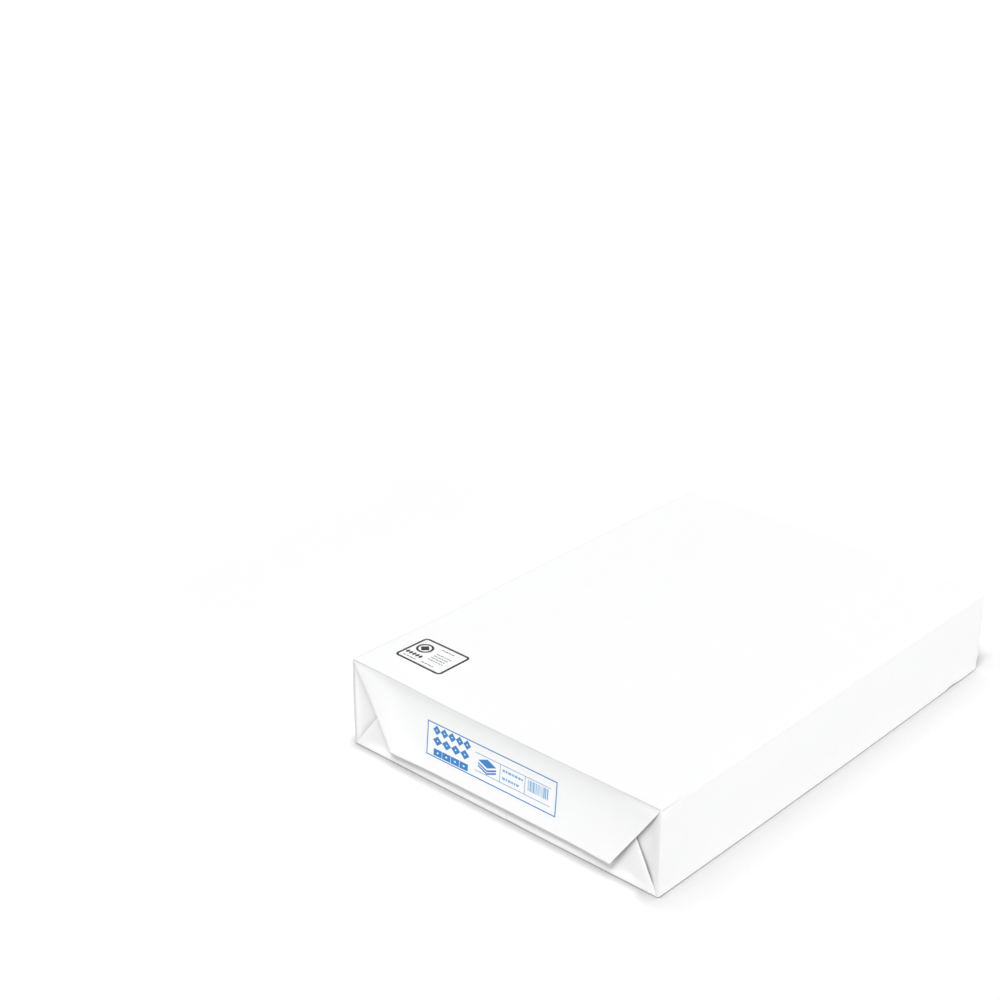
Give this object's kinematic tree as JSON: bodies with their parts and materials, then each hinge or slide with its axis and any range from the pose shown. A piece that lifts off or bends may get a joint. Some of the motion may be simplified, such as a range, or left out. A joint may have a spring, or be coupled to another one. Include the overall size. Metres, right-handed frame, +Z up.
{
  "type": "wrapped ream of copy paper",
  "caption": "Flat block of A4 copy paper sealed in a folded white paper wrapper, with tucked ends, a small label panel and a lap seam beneath.",
  "frame": {"origin": "centre of the underside, midway between the two folded ends", "axes": "+Z up, +Y along the long side away from the labelled end, +X to the right seen from the labelled end"},
  "size_m": [0.211, 0.3042, 0.0503],
  "materials": {
    "wrapping_paper": "satin"
  },
  "bodies": {
    "root": {"wrapped_ream": "wrapping_paper"}
  },
  "joints": []
}
